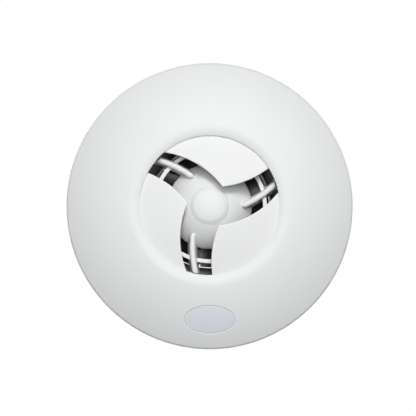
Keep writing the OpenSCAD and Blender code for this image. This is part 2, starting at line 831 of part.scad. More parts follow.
module guard_frame()
    color("white") on_wall() difference() {
        union() {
            difference() {
                union() {
                    hub_solid(0, hub_rear_z);
                    intersection() {
                        translate([0, 0, dome_z]) sphere(r = hub_dome_r + cap_rise, $fn = 180);
                        rod(cap_d / 2, dome_z, hub_top_z + cap_rise);
                    }
                    thrice() fin();
                    tube(guard_d / 2, guard_d / 2 + guard_w, guard_z, guard_z + guard_t);
                }
                hub_solid(hub_wall, hub_rear_z - cut);
            }
            intersection() {
                rod(bearing_boss_r, front_bearing_z - 0.8, hub_top_z);
                hub_solid(hub_wall / 2, hub_rear_z);
            }
            thrice() {
                at(mount_place_r, clamp_a) rod(mount_r, mount_z, stack_z);
                at(hub_cavity_r - 1, clamp_a) block(4, 5, mount_z, stack_z);
            }
            tube(guard_rim_r, mouth_r, inlet_z, carrier_z);
            thrice() {
                at(clamp_r, clamp_a) rod(clamp_boss_r, carrier_z - ear_t, carrier_z);
                rotate([0, 0, clamp_a]) translate([(mouth_r + clamp_r) / 2, 0, 0])
                    block(clamp_r - mouth_r + 2, 7, carrier_z - ear_t, carrier_z);
            }
        }
        thrice() {
            at(clamp_r, clamp_a) rod(clamp_screw_r + screw_fit, inlet_z - cut, carrier_z + cut);
            at(mount_place_r, clamp_a) rod(bracket_screw_r, mount_z - cut, stack_z - 0.5);
        }
        rod(bearing_r, front_bearing_z - cut, front_bearing_z + bearing_w);
        rod(shaft_r + 1, front_bearing_z, shaft_front_z + 0.8);
        motor_lead_rod(motor_lead_r + screw_fit);
    }

// ---- housing ----

// Half section of the socket, with a chamfer that leads the tenon in
module spigot_socket()
    translate([tenon_fit, 0]) polygon([
        [0, -cut], [spigot_r, -cut], [spigot_r, 0],
        [tenon_r, spigot_r - tenon_r], [tenon_r, tenon_len], [0, tenon_len]
    ]);

// Half section of the wall plate and the inlet's bell mouth, with the socket behind it
// that the duct spigot's tenon is pushed into
module housing_section()
    difference() {
        union() {
            translate([duct_r, 0]) square([plate_r - duct_r, plate_t]);
            translate([duct_r, 0]) square([mouth_r - duct_r, inlet_z - bell_r]);
            translate([guard_rim_r, 0]) square([guard_rim_w, inlet_z]);
            intersection() {
                translate([guard_rim_r, inlet_z - bell_r]) circle(r = bell_r);
                translate([guard_rim_r - bell_r, inlet_z - bell_r]) square([bell_r, bell_r]);
            }
        }
        spigot_socket();
    }

// Upright wall with a window for the barb of a cover hook
module hook_upstand()
    difference() {
        tube_arc(upstand_r - upstand_w, upstand_r, plate_t / 2, upstand_top_z,
            hook_a - upstand_half_a, hook_a + upstand_half_a);
        tube_arc(upstand_r - upstand_w - cut, upstand_r + cut,
            barb_z - pass_fit, barb_z + barb_h + pass_fit,
            hook_a - window_half_a, hook_a + window_half_a);
    }

module housing()
    color("#33363a") on_wall() difference() {
        union() {
            rotate_extrude($fn = 180) housing_section();
            thrice() {
                at(clamp_r, clamp_a) rod(clamp_boss_r, plate_t / 2, carrier_z - ear_t);
                at(lobe_screw_r, lobe_screw_a) rod(lobe_post_r, plate_t / 2, carrier_z);
                hook_upstand();
            }
            for (p = board_screw_places) at(p[0], p[1]) rod(board_post_r, plate_t / 2, board_z);
            for (r = [supply_path_r - guide_gap - guide_t, supply_path_r + guide_gap])
                tube_arc(r, r + guide_t, plate_t / 2, plate_t + guide_h, guide_from_a, guide_to_a);
            for (s = sides)
                at(clamp_bar_r + s * clamp_screw_x, clamp_bar_a)
                    rod(clamp_post_r, plate_t / 2, clamp_bar_z);
        }
        thrice() at(wall_screw_pcd / 2, 90) rod(wall_screw_d / 2, -cut, plate_t + cut);
        at(cable_r, cable_a) rod(cable_hole_d / 2, -cut, plate_t + cut);
        thrice() {
            at(clamp_r, clamp_a) rod(clamp_screw_r, plate_t, inlet_z + 2);
            at(lobe_screw_r, lobe_screw_a) rod(clamp_screw_r, plate_t, carrier_z + cut);
        }
        for (p = board_screw_places)
            at(p[0], p[1]) rod(board_screw_r, plate_t / 2 + 0.2, board_z + cut);
        for (s = sides)
            at(clamp_bar_r + s * clamp_screw_x, clamp_bar_a)
                rod(clamp_screw_r, plate_t, clamp_bar_z + cut);
        motor_lead_rod(motor_lead_r + screw_fit);
    }

// Tube with a shoulder against the wall plate's back and a thinner tenon in its socket
module duct_spigot()
    color("#33363a") on_wall() rotate_extrude($fn = 180) {
        translate([duct_r, -spigot_len]) square([spigot_wall, spigot_len]);
        translate([duct_r, -overlap]) square([tenon_r - duct_r, tenon_len + overlap]);
    }

// ---- motor ----

module stator_core()
    color("silver") on_wall() translate([0, 0, stack_z]) linear_extrude(stack_len) difference() {
        union() {
            difference() {
                circle(r = stator_r);
                circle(r = stator_r - yoke_w);
            }
            for (q = [0:3]) rotate([0, 0, fin_inner_a + 90 * q])
                translate([pole_r - cut, -pole_w / 2]) square([stator_r - yoke_w / 2 - pole_r, pole_w]);
        }
        circle(r = pole_r);
    }

module stator_coils()
    color("#b8622b") on_wall() for (q = [0:3]) rotate([0, 0, fin_inner_a + 90 * q])
        translate([(coil_r + coil_outer_r) / 2, 0, 0]) difference() {
            block(coil_outer_r - coil_r, pole_w + 2 * coil_t,
                stack_z - coil_end_t, stack_top_z + coil_end_t);
            block(coil_outer_r - coil_r + cut, pole_w, stack_z, stack_top_z);
        }

module motor_mounts()
    color("#202020") on_wall() thrice() at(mount_place_r, clamp_a)
        tube(bracket_screw_r + screw_fit, mount_r, mount_z - mount_t, mount_z);

module rear_bracket()
    color("silver") on_wall() difference() {
        union() {
            rod(bracket_r, bracket_z, bracket_z + bracket_t);
            rod(bearing_r + 2, rear_bearing_z - 0.6, bracket_z + bracket_t);
        }
        rod(bearing_r, rear_bearing_z, rear_bearing_z + bearing_w + cut);
        rod(shaft_r + 1.5, rear_bearing_z - 2, rear_bearing_z + cut);
        rod(bearing_r, rear_bearing_z + bearing_w, bracket_z + bracket_t + cut);
        thrice() at(mount_place_r, clamp_a)
            rod(bracket_screw_r + screw_fit, bracket_z - cut, bracket_z + bracket_t + cut);
    }

// Screws that go in from behind, so their heads are at the low end
module bracket_screws()
    color("silver") on_wall() thrice() at(mount_place_r, clamp_a)
        translate([0, 0, bracket_z]) mirror([0, 0, 1])
            screw(bracket_screw_r, bracket_z - mount_z - bracket_screw_bite, 0, bracket_head);

// Ball bearing with its inner race on the shaft
module bearing(z0) {
    inner_r = shaft_r + run_fit;
    race_t = 1.6;
    difference() {
        tube(inner_r, bearing_r, z0, z0 + bearing_w);
        tube(inner_r + race_t, bearing_r - race_t, z0 + bearing_w - 0.5, z0 + bearing_w + cut);
        tube(inner_r + race_t, bearing_r - race_t, z0 - cut, z0 + 0.5);
    }
}

module front_bearing() color("silver") on_wall() bearing(front_bearing_z);
module rear_bearing() color("silver") on_wall() bearing(rear_bearing_z);

module rotor_core()
    color("gray") on_wall() difference() {
        union() {
            rod(rotor_d / 2, stack_z, stack_top_z);
            rod(rotor_d / 2 - 1.5, stack_z - 2, stack_top_z + 2);
        }
        rod(shaft_r, stack_z - 3, stack_top_z + 3);
    }

module shaft() color("silver") on_wall() rod(shaft_r, shaft_rear_z, shaft_front_z);

// A cambered blade standing on the x axis: an arc in section, swept outwards
module blade()
    intersection() {
        translate([impeller_hub_r - 1, 0, 0]) rotate([90, 0, 90])
            linear_extrude(blade_r - impeller_hub_r + 2) difference() {
                translate([-blade_reach / 2, impeller_front_z - 1 - blade_curve_r])
                    intersection() {
                        difference() {
                            circle(r = blade_curve_r, $fn = 180);
                            circle(r = blade_curve_r - blade_t, $fn = 180);
                        }
                        square([blade_reach, blade_curve_r]);
                    }
                translate([-blade_curve_r, impeller_z - blade_curve_r - 50])
                    square([2 * blade_curve_r, blade_curve_r + 51]);
            }
        tube(impeller_hub_r - 0.6, blade_r, impeller_z, impeller_front_z);
    }

module impeller()
    color("#2b2d30") on_wall() difference() {
        union() {
            tube(impeller_hub_r - impeller_hub_wall, impeller_hub_r, impeller_z, impeller_front_z);
            rod(impeller_hub_r - impeller_hub_wall / 2, web_z, web_z + web_t);
            rod(impeller_boss_r, nut_z + nut_h, web_z + web_t);
            for (b = [1:blades]) rotate([0, 0, b * 360 / blades]) blade();
        }
        rod(shaft_r, nut_z, impeller_front_z);
    }

module impeller_nut()
    color("silver") on_wall() difference() {
        translate([0, 0, nut_z]) cylinder(r = 4.6, h = nut_h, $fn = 6);
        rod(shaft_r, nut_z - cut, nut_z + nut_h + cut);
    }

// ---- electrics ----

module board_block(size) block(size[0], size[1], board_top_z, board_top_z + size[2]);

module on_board(place, size) at(place[0], place[1]) board_block(size);

module circuit_board()
    color("#1f6b3a") on_wall() difference() {
        tube_arc(board_inner_r, board_outer_r, board_z, board_top_z, board_from_a, board_to_a);
        for (p = board_screw_places)
            at(p[0], p[1]) rod(board_screw_r + 0.2, board_z - cut, board_top_z + cut);
    }

module board_screws()
    color("silver") on_wall() for (p = board_screw_places)
        at(p[0], p[1]) screw(board_screw_r, plate_t / 2 + 0.4, board_top_z, board_head);

module relay() color("#2a4fa0") on_wall() on_board(relay_place, relay_size);

module capacitor() color("#c8b070") on_wall() on_board(capacitor_place, capacitor_size);

module control_chip() color("#1c1c1e") on_wall() on_board(chip_place, chip_size);

module timer_body()
    color("#2a4fa0") on_wall() at(timer_r, timer_a) difference() {
        block(timer_w, timer_w, board_top_z, timer_z);
        rod(timer_stem_r + run_fit, board_top_z + 0.8, timer_z + cut);
    }

module timer_knob()
    color("ivory") on_wall() at(timer_r, timer_a) difference() {
        union() {
            rod(timer_stem_r, board_top_z + 1, timer_z + 0.3);
            rod(knob_r, timer_z + 0.1, timer_z + knob_h);
        }
        block(4, 0.8, timer_z + knob_h - 1, timer_z + knob_h + cut);
    }

module motor_connector()
    color("ivory") on_wall() on_board(motor_plug_place, motor_plug_size);

module shutter_connector()
    color("ivory") on_wall() rotate([0, 0, board_from_a])
        translate([shutter_path_r, shutter_plug_size[1] / 2 + overlap, 0]) board_block(shutter_plug_size);

module supply_connector()
    color("ivory") on_wall() rotate([0, 0, board_to_a])
        translate([supply_path_r, -supply_plug_size[1] / 2 - pass_fit, 0]) board_block(supply_plug_size);

module terminal_block() {
    top_z = plate_t + terminal_h;
    color("ivory") on_wall() at(terminal_r, terminal_a) difference() {
        block(terminal_d, terminal_w, plate_t, top_z);
        for (j = [-1:1]) translate([0, j * terminal_pitch, 0]) {
            rod(terminal_screw_r + 0.2, top_z - terminal_screw_depth, top_z + cut);
            translate([terminal_d / 2 - terminal_wire_depth, 0, top_z - terminal_wire_drop])
                rotate([0, 90, 0]) cylinder(r = terminal_wire_r, h = terminal_wire_depth + cut);
        }
    }
}

module terminal_screws()
    color("#c9a227") on_wall() at(terminal_r, terminal_a) for (j = [-1:1])
        translate([0, j * terminal_pitch, 0]) difference() {
            rod(terminal_screw_r, plate_t + terminal_h - terminal_screw_depth, plate_t + terminal_h - 1);
            block(5, 0.7, plate_t + terminal_h - 1.8, plate_t + terminal_h);
        }

module cable_clamp()
    color("ivory") on_wall() at(clamp_bar_r, clamp_bar_a) difference() {
        block(clamp_bar_len, clamp_bar_w, clamp_bar_z, clamp_bar_z + clamp_bar_t);
        for (s = sides)
            translate([s * clamp_screw_x, 0, 0])
                rod(clamp_screw_r + screw_fit, plate_t, clamp_bar_z + clamp_bar_t + cut);
    }

module clamp_screws()
    color("silver") on_wall() at(clamp_bar_r, clamp_bar_a) for (s = sides)
        translate([s * clamp_screw_x, 0, 0])
            screw(clamp_screw_r, plate_t + 0.5, clamp_bar_z + clamp_bar_t, small_head);

module cable_grommet()
    color("#202020") on_wall() at(cable_r, cable_a) difference() {
        union() {
            rod(cable_hole_d / 2, 0.2, plate_t + 0.5);
            rod(grommet_flange_r, plate_t, plate_t + 2);
        }
        rod(cable_bore_d / 2, -cut, plate_t + 3);
    }

// Three supply leads from the terminal block round to the board
module supply_leads() {
    start_a = board_to_a + 0.1;
    end_a = terminal_a - 3;
    colours = ["#7a4a2a", "#2a5fb0", "#1c1c1e"];
    on_wall() for (j = [0:2]) color(colours[j]) translate([0, 0, supply_levels[j]]) {
        rotate([0, 0, start_a]) rotate_extrude(angle = end_a - start_a, $fn = 180)
            translate([supply_path_r, 0]) circle(r = lead_r, $fn = 24);
        at(supply_path_r, end_a) sphere(r = lead_r, $fn = 24);
        rotate([0, 0, end_a]) translate([supply_path_r, 0, 0]) rotate([0, 90, 0])
            cylinder(r = lead_r, h = terminal_r - terminal_d / 2 - supply_path_r, $fn = 24);
    }
}

module motor_lead() color("#202020") on_wall() motor_lead_rod(motor_lead_r);

// Two leads from the shutter motor round to the board
module shutter_leads() {
    start_a = gear_a + 9.2;
    on_wall() color("#c03028") for (z = shutter_levels) translate([0, 0, z])
        rotate([0, 0, start_a]) rotate_extrude(angle = board_from_a - start_a + 0.3, $fn = 180)
            translate([shutter_path_r, 0]) circle(r = lead_r, $fn = 24);
}

cover();
badge_plate();
petal_top();
petal_left();
petal_right();
drive_ring();
petal_carrier();
carrier_screws();
ring_washers();
shutter_motor();
shutter_motor_screws();
shutter_pinion();
guard_frame();
housing();
duct_spigot();
stator_core();
stator_coils();
motor_mounts();
rear_bracket();
bracket_screws();
front_bearing();
rear_bearing();
rotor_core();
shaft();
impeller();
impeller_nut();
circuit_board();
relay();
capacitor();
control_chip();
timer_body();
timer_knob();
motor_connector();
shutter_connector();
supply_connector();
board_screws();
terminal_block();
terminal_screws();
cable_clamp();
clamp_screws();
cable_grommet();
supply_leads();
motor_lead();
shutter_leads();
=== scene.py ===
"""Looks of the round bathroom extractor fan: cover, badge plate, iris petals and hub cap get
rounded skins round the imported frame, and every other piece keeps its solid and gets a material.

Shapes are written in the fan's frame, in millimetres: x to the right and y up as someone
facing the fan sees them, and z out of the wall into the room. Names in _A, _SLOPE or _TILT are
angles, in degrees as they are typed and in radians where math gives them. Materials, lamps
and the world are in metres, as Blender is."""

import json
import math

import bmesh
import bpy
from mathutils import Matrix, Vector
from mathutils.geometry import delaunay_2d_cdt


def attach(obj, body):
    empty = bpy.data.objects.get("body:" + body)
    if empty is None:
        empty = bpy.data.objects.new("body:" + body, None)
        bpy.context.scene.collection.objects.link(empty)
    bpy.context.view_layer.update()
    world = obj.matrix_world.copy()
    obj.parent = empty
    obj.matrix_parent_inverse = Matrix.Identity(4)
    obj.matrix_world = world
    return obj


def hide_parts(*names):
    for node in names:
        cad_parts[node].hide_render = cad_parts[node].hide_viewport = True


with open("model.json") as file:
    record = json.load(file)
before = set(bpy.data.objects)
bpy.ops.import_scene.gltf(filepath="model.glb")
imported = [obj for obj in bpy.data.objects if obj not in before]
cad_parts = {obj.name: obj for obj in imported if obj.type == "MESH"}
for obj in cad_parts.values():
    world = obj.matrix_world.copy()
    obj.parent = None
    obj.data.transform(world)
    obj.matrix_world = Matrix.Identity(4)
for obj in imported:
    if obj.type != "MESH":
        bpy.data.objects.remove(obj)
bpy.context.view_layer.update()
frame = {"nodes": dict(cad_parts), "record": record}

MM = 0.001
COPIES = 3
THIRD = 360 / COPIES

# Cover
COVER_R = 110.0
COVER_WALL = 2.3
COVER_RIM_Z = 0.5
OPENING_R = 53.4
CREST_R = 60.0
CREST_Z = 36.3
CREST_ROUND_R = 14.0
DOME_ARC_R = 135.0
EDGE_SLOPE = 32.2
EDGE_ROUND_R = 3.0
LIP_GAP = 0.4
LIP_CHAMFER = 0.12
LIP_SLANT = (0.8, 0.22)
LIP_ROUND_A = 1.8
CORNER_R = 0.4
COVER_STEPS = 384

# Badge
BADGE_DROP = 87.5
BADGE_A = 19.5
BADGE_B = 10.8
BADGE_DEPTH = 1.0
BADGE_PLATE_T = 0.6
BADGE_FIT = 0.2
BADGE_STEPS = 180
WINDOW_MARGIN = 4.0
RECESS_INSET = 1.2
# Distance outside the recess's outline, and share of its depth, from the dome inwards
RECESS_RINGS = [
    (3.0, 0), (1.6, 0), (0.8, 0), (0.42, 0.015), (0.28, 0.05), (0.16, 0.12), (0.07, 0.24), (0.02, 0.4),
    (0.0, 0.6), (-0.02, 0.82), (-0.06, 0.93), (-0.16, 0.99), (-0.3, 1.0), (-RECESS_INSET, 1.0),
]

# Petals
SHELL_R = 200.0
PETAL_FACE_Z = 33.0
PETAL_T = 2.0
PIVOT_OFFSET = 7.1
FIRST_PIVOT_A = 137.0
REST_A = 16.1
CLOSED_ARM_A = -24.0
SEAM_R = 69.6
SEAM_GAP = 0.3
PETAL_OVERLAP = 1.9
NECK_R = 8.6
LUG_R = 4.6
TAIL_A = 28.92
PETAL_EDGE_R = 0.6
PETAL_STEPS = 540
HALVINGS = 22
BLADE_MIDDLE = (12.0, 30.0)
BLADE_REACH = 95.0
FIELD_SHARES = (0.02, 0.25, 0.5, 0.75, 0.92)
BOSS_R = 4.0
BORE_R = 2.55
BORE_ROOF_T = 1.6
DRIVE_ARM = 15.0
EAR_R = 3.2
EAR_STEPS = 96
DRIVE_BALL_R = 1.4
DRIVE_NECK_R = 1.1
BALL_Z = 19.3
BOSS_DROP = 0.7
MEAN_ARM_A = 16.0
AXIS_R = 0.1

# Cap on the hub's dome: its skin starts to fall at the first radius and ends at the second
HUB_TOP_Z = 31.7
HUB_DOME_R = 36.0
CAP_RISE = 0.5
CAP_SKIN = 0.03
CAP_BLEND = (10.8, 14.6)
CAP_BLEND_STEPS = 16
CAP_STEPS = 144

# Places that follow from these sizes

PIVOT_R = OPENING_R + PIVOT_OFFSET
PIVOT_TILT = math.asin(PIVOT_R / SHELL_R)
SHELL_Z = PETAL_FACE_Z - math.sqrt(SHELL_R**2 - OPENING_R**2)
SEAM_A = FIRST_PIVOT_A + math.degrees(math.acos(PIVOT_R / (2 * SEAM_R)))
INNER_R = SHELL_R - PETAL_T
ARM_RISE = DRIVE_ARM * math.cos(math.radians(MEAN_ARM_A)) * math.sin(PIVOT_TILT)
BALL_LEVEL = (BALL_Z - SHELL_Z + ARM_RISE) / math.cos(PIVOT_TILT)
BOSS_LEVEL = BALL_LEVEL - BOSS_DROP

# Camera: the width that the picture takes in at the wall, and the point in its middle
VIEW_WIDTH = 321.57
VIEW_MIDDLE = (-1.24, -0.93)
CAMERA_DISTANCE = 3200.0
CAMERA_ELEVATION = -2.0
SENSOR_MM = 36.0

# Light: each lamp aims at the fan's middle
LAMPS = [
    {"name": "key", "place": (0.1, -1.95, 0.95), "size": 0.7, "power": 1.38, "spread": 35},
    {"name": "front", "place": (0, -2.2, 0.1), "size": 0.6, "power": 0.72, "spread": 35},
    {"name": "back_left", "place": (-1.6, 1.6, 1.2), "size": 1.0, "power": 1.0, "spread": 45},
    {"name": "back_right", "place": (1.6, 1.6, 0.8), "size": 1.0, "power": 0.8, "spread": 45},
]
AMBIENT_COLOUR = (0.93, 0.98, 1, 1)
AMBIENT = 0.12
FLOOR_Z = -0.7
FLOOR_SIZE = 12.0
FLOOR_GREYS = ((0.86, 0.86, 0.86), (0.88, 0.88, 0.88))
FLOOR_PALE = 0.62
PURE_WHITE = (1, 1, 1, 1)


def row(x, y, z):
    """A point of the fan's frame, in millimetres, as a point of the row's frame in metres."""
    return Vector((x, -z, y)) * MM


def polar(r, a):
    """The point at radius r in direction a, in degrees."""
    return (r * math.cos(math.radians(a)), r * math.sin(math.radians(a)))


def arc(cx, cy, r, a0, a1, n):
    """n + 1 points on a circle, from direction a0 to a1 in degrees."""
    return [
        (cx + r * math.cos(a), cy + r * math.sin(a))
        for a in (math.radians(a0 + (a1 - a0) * i / n) for i in range(n + 1))
    ]


def piece(name, bm, body, slot):
    """A new smooth object from a bmesh, which rides on a body and wears its slot's material."""
    mesh = bpy.data.meshes.new(name)
    bmesh.ops.recalc_face_normals(bm, faces=bm.faces)
    bm.to_mesh(mesh)
    bm.free()
    for face in mesh.polygons:
        face.use_smooth = True
    mesh.materials.append(MATERIALS[slot])
    obj = bpy.data.objects.new(name, mesh)
    bpy.context.scene.collection.objects.link(obj)
    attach(obj, body)
    return obj


# ---- materials ----


class Graph:
    """A material's nodes, with a short way to add and join them."""

    def __init__(self, name):
        self.material = bpy.data.materials.new(name)
        self.material.use_nodes = True
        self.nodes = self.material.node_tree.nodes
        self.links = self.material.node_tree.links
        self.shader = self.nodes["Principled BSDF"]
        self.coords = self.add("ShaderNodeTexCoord").outputs["Object"]

    def add(self, kind, **settings):
        node = self.nodes.new(kind)
        for key, value in settings.items():
            if hasattr(node, key):
                setattr(node, key, value)
            else:
                node.inputs[key.replace("_", " ")].default_value = value
        return node

    def join(self, output, target):
        self.links.new(output, target)

    def noise(self, scale, detail=3.0, rough=0.55, stretch=None):
        """Noise of about 1 / scale metres."""
        node = self.add("ShaderNodeTexNoise", Scale=scale, Detail=detail, Roughness=rough)
        source = self.coords
        if stretch:
            mapping = self.add("ShaderNodeMapping")
            mapping.inputs["Scale"].default_value = stretch
            self.join(source, mapping.inputs["Vector"])
            source = mapping.outputs["Vector"]
        self.join(source, node.inputs["Vector"])
        return node.outputs["Fac"]

    def spread(self, value, low, high, start=0.3, end=0.7):
        node = self.add("ShaderNodeMapRange")
        for key, number in (
            ("From Min", start),
            ("From Max", end),
            ("To Min", low),
            ("To Max", high),
        ):
            node.inputs[key].default_value = number
        self.join(value, node.inputs["Value"])
        return node.outputs["Result"]

    def mix(self, factor, first, second):
        node = self.add("ShaderNodeMix", data_type="RGBA")
        for key, colour in (("A", first), ("B", second)):
            if isinstance(colour, tuple):
                node.inputs[key].default_value = (*colour, 1)
            else:
                self.join(colour, node.inputs[key])
        self.join(factor, node.inputs["Factor"])
        return node.outputs["Result"]

    def relief(self, height, depth, strength, edge_r=None):
        """Joins a bump of that depth in metres to the shader, over rounded edges if asked."""
        bump = self.add("ShaderNodeBump", Strength=strength, Distance=depth)
        self.join(height, bump.inputs["Height"])
        if edge_r:
            bevel = self.add("ShaderNodeBevel", samples=4, Radius=edge_r)
            self.join(bevel.outputs["Normal"], bump.inputs["Normal"])
        self.join(bump.outputs["Normal"], self.shader.inputs["Normal"])


def tinted(colour, share):
    return tuple(min(1.0, c * share) for c in colour)


def plastic(name, colour, rough, grain_mm=0.35, grain_depth=4e-6, wear=0.03, edge_r=3e-4, painted_highlight=None):
    """Moulded plastic: faint mottling of tone and gloss, and a fine grain. Where the mesh marks
    an edge, a painted highlight can make it lighter."""
    g = Graph(name)
    mottling = g.spread(g.noise(28, 4), 0, 1)
    base = g.mix(mottling, tinted(colour, 1 - wear), colour)
    # Painted highlight: where the mesh marks an edge, the colour is lightened by that share
    if painted_highlight:
        painted_highlight_mask = g.add("ShaderNodeAttribute", attribute_name="edge").outputs["Fac"]
        base = g.mix(painted_highlight_mask, base, tinted(colour, painted_highlight))
    g.join(base, g.shader.inputs["Base Color"])
    g.join(g.spread(g.noise(190, 5), rough - 0.05, rough + 0.07), g.shader.inputs["Roughness"])
    g.relief(g.noise(1000 / grain_mm, 2), grain_depth, 0.6, edge_r)
    return g.material


def metal(name, colour, rough, brush):
    """Bright metal with brush or tool marks along the axes that have a small stretch."""
    g = Graph(name)
    g.shader.inputs["Metallic"].default_value = 1.0
    marks = g.noise(900, 4, 0.6, brush)
    tarnish = g.spread(g.noise(60, 4), 0, 1)
    g.join(g.mix(tarnish, tinted(colour, 0.86), colour), g.shader.inputs["Base Color"])
    g.join(g.spread(marks, rough - 0.08, rough + 0.12), g.shader.inputs["Roughness"])
    g.relief(marks, 3e-6, 0.5, 1e-4)
    return g.material


def banded(g, direction, scale, distortion):
    """Even bands across the piece, as 0 to 1."""
    wave = g.add("ShaderNodeTexWave", wave_type="BANDS", bands_direction=direction, Scale=scale,
                 Distortion=distortion)
    g.join(g.coords, wave.inputs["Vector"])
    return wave.outputs["Fac"]


def laminated(name, colour):
    """A stack of thin steel sheets under varnish."""
    g = Graph(name)
    sheets = banded(g, "Y", 320, 0.4)
    g.shader.inputs["Metallic"].default_value = 0.8
    g.join(g.mix(g.spread(sheets, 0, 1, 0, 1), tinted(colour, 0.55), colour), g.shader.inputs["Base Color"])
    g.join(g.spread(g.noise(200), 0.35, 0.55), g.shader.inputs["Roughness"])
    g.relief(sheets, 4e-5, 0.6)
    return g.material


def wound(name, colour):
    """Windings of enamelled wire, side by side."""
    g = Graph(name)
    wires = banded(g, "DIAGONAL", 420, 1.5)
    g.shader.inputs["Metallic"].default_value = 0.6
    g.join(g.mix(wires, tinted(colour, 0.4), colour), g.shader.inputs["Base Color"])
    g.join(g.spread(g.noise(300), 0.25, 0.42), g.shader.inputs["Roughness"])
    g.relief(wires, 1.2e-4, 0.8)
    return g.material


# Colour, roughness, size and depth of the grain, how far the mottling darkens, the round of the
# edges, and how far a painted highlight lightens marked edges
PLASTICS = {
    "cover_white": ((0.83, 0.84, 0.84), 0.56, 0.5, 3e-6, 0.012),
    # The petals' marked edges get a painted highlight, 1.12 times their colour
    "petal_white": ((0.84, 0.845, 0.84), 0.6, 0.5, 2e-6, 0.01, 3e-4, 1.12),
    "guard_white": ((0.85, 0.858, 0.855), 0.6, 0.5, 2e-6, 0.015, 9e-4),
    "badge_grey": ((0.80, 0.81, 0.87), 0.42, 0.22, 3e-6, 0.05),
    "housing_charcoal": ((0.034, 0.036, 0.034), 0.5, 0.6, 2e-5, 0.2, 4e-4),
    "carrier_charcoal": ((0.035, 0.037, 0.038), 0.48, 0.6, 1e-5, 0.2),
    "ring_acetal": ((0.55, 0.55, 0.53), 0.34),
    "pinion_nylon": ((0.72, 0.70, 0.62), 0.38),
    "impeller_dark": ((0.03, 0.032, 0.03), 0.38, 0.4, 6e-6, 0.2),
    "soft_rubber": ((0.02, 0.02, 0.021), 0.75, 0.3, 2e-5, 0.3),
    "board_green": ((0.015, 0.13, 0.045), 0.33, 0.8, 1e-5, 0.25),
    "relay_blue": ((0.03, 0.10, 0.34), 0.3),
    "capacitor_tan": ((0.52, 0.34, 0.11), 0.25),
    "chip_black": ((0.02, 0.02, 0.022), 0.55, 0.15, 1e-5),
    "connector_ivory": ((0.72, 0.68, 0.56), 0.42),
    "lead_insulation": ((0.045, 0.045, 0.05), 0.36, 0.3, 4e-6, 0.1),
}
# Colour, roughness, and the stretch of the brush marks along x, y and z
METALS = {
    "screw_steel": ((0.62, 0.63, 0.66), 0.3, (1, 1, 1)),
    "shaft_steel": ((0.66, 0.67, 0.70), 0.2, (1, 12, 1)),
    "bearing_steel": ((0.62, 0.63, 0.65), 0.2, (1, 8, 1)),
    "motor_can": ((0.52, 0.53, 0.55), 0.34, (1, 10, 1)),
    "bracket_steel": ((0.52, 0.53, 0.56), 0.38, (12, 1, 1)),
    "terminal_brass": ((0.72, 0.47, 0.16), 0.28, (1, 1, 1)),
}
MATERIALS = {
    "lamination_steel": laminated("lamination_steel", (0.30, 0.31, 0.33)),
    "winding_copper": wound("winding_copper", (0.60, 0.22, 0.07)),
}
for name, look in PLASTICS.items():
    MATERIALS[name] = plastic(name, *look)
for name, look in METALS.items():
    MATERIALS[name] = metal(name, *look)
for part in frame["record"]["subparts"]:
    node = frame["nodes"][part["node"]]
    node.data.materials.clear()
    node.data.materials.append(MATERIALS[part["material_slot"]])


# ---- cover ----

EDGE_CENTRE_R = COVER_R - EDGE_ROUND_R
DOME_CENTRE_R = EDGE_CENTRE_R - (DOME_ARC_R - EDGE_ROUND_R) * math.sin(math.radians(EDGE_SLOPE))
CREST_CENTRE_Z = CREST_Z - CREST_ROUND_R
CREST_SLOPE = math.degrees(math.asin((CREST_R - DOME_CENTRE_R) / (DOME_ARC_R - CREST_ROUND_R)))
DOME_CENTRE_Z = CREST_CENTRE_Z - (DOME_ARC_R - CREST_ROUND_R) * math.cos(math.radians(CREST_SLOPE))
EDGE_CENTRE_Z = DOME_CENTRE_Z + (DOME_ARC_R - EDGE_ROUND_R) * math.cos(math.radians(EDGE_SLOPE))


def rounded_corner(before, corner, after, r, n=4):
    """Points of a round of radius r that replaces a corner between two straight stretches."""
    a = (Vector(before) - Vector(corner)).normalized()
    b = (Vector(after) - Vector(corner)).normalized()
    half = a.angle(b) / 2
    centre = Vector(corner) + (a + b).normalized() * (r / math.sin(half))
    start = Vector(corner) + a * (r / math.tan(half)) - centre
    end = Vector(corner) + b * (r / math.tan(half)) - centre
    return [tuple(centre + r * start.slerp(end, i / n)) for i in range(n + 1)]


